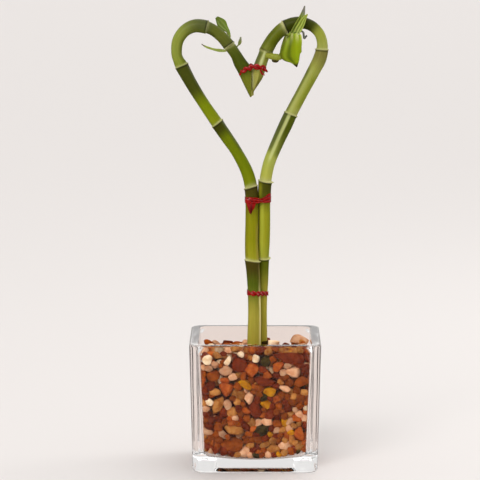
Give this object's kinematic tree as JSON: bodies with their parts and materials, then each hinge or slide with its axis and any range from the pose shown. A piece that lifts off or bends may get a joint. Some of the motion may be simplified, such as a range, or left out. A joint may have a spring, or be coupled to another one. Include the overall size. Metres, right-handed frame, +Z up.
{
  "type": "lucky bamboo in a square glass vase",
  "caption": "Bamboo stalks bent and tied into a heart, with small leafy shoots, standing in pebbles in a square clear glass vase.",
  "frame": {"origin": "middle of the bounding box's bottom face, on the surface that the vase stands on", "axes": "+Z up the stalks, +X to the right across the heart, +Y towards the back, square to the heart's plane"},
  "size_m": [0.1196, 0.1, 0.3504],
  "materials": {
    "clear_glass": "clear thick pressed glass, polished",
    "river_pebbles": "smooth gravel, satin, mixed browns, tans and creams",
    "bamboo_stalk": "living green stalk, waxy satin",
    "leaf_green": "living leaf, soft sheen",
    "dry_leaf": "dry, matte",
    "red_tie": "glossy red twist ribbon"
  },
  "bodies": {
    "root": {"vase": "clear_glass", "pebbles": "river_pebbles", "stalk_left": "bamboo_stalk", "stalk_right": "bamboo_stalk", "tie_lower": "red_tie", "tie_upper": "red_tie", "tie_tip": "red_tie", "shoot_left": "leaf_green", "shoot_right": "leaf_green", "leaf_left_thin": "leaf_green", "leaf_left_broad": "leaf_green", "leaf_left_tip": "leaf_green", "leaf_right_broad": "leaf_green", "leaf_right_spear": "leaf_green", "leaf_right_sheath": "leaf_green", "leaf_right_curl": "dry_leaf"}
  },
  "joints": []
}
